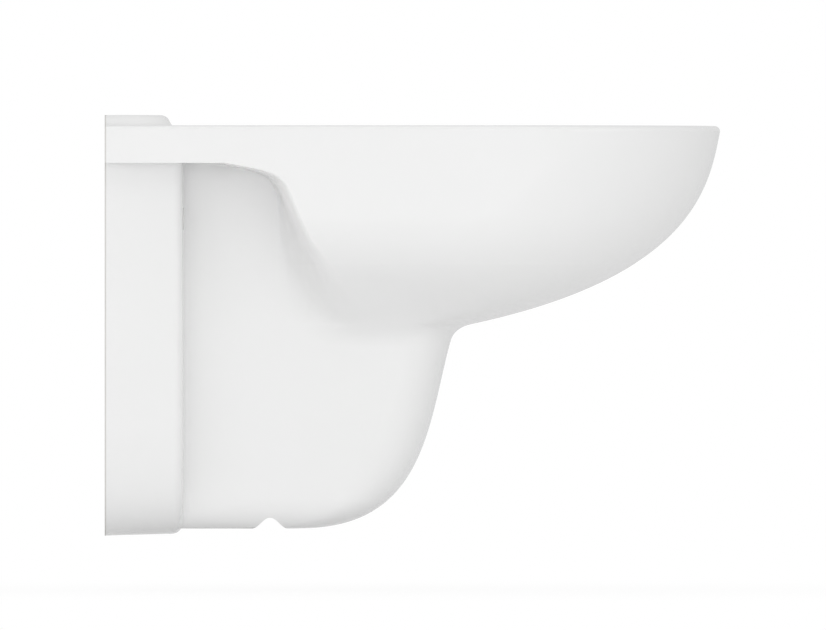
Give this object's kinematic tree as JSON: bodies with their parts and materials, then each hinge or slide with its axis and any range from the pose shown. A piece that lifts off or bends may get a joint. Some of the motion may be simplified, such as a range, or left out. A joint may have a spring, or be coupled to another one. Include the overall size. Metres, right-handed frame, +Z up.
{
  "type": "wall hung toilet",
  "caption": "Wall hung toilet pan of glazed clay: bowl and trap body with a wall flange, a flushing rim with a raised back ledge, fixing sleeves and pipe seals.",
  "frame": {"origin": "on the wall plane, midway between the two wall fixing holes", "axes": "+X from the wall towards the nose, +Y across the pan, +Z up"},
  "size_m": [0.53, 0.36, 0.3614],
  "materials": {
    "glazed_clay": "gloss glaze",
    "sleeve_plastic": "moulded, satin",
    "seal_rubber": "matt"
  },
  "bodies": {
    "root": {"bowl_body": "glazed_clay", "flushing_rim": "glazed_clay", "fixing_sleeve_left": "sleeve_plastic", "fixing_sleeve_right": "sleeve_plastic", "inlet_seal": "seal_rubber", "outlet_seal": "seal_rubber"}
  },
  "joints": []
}
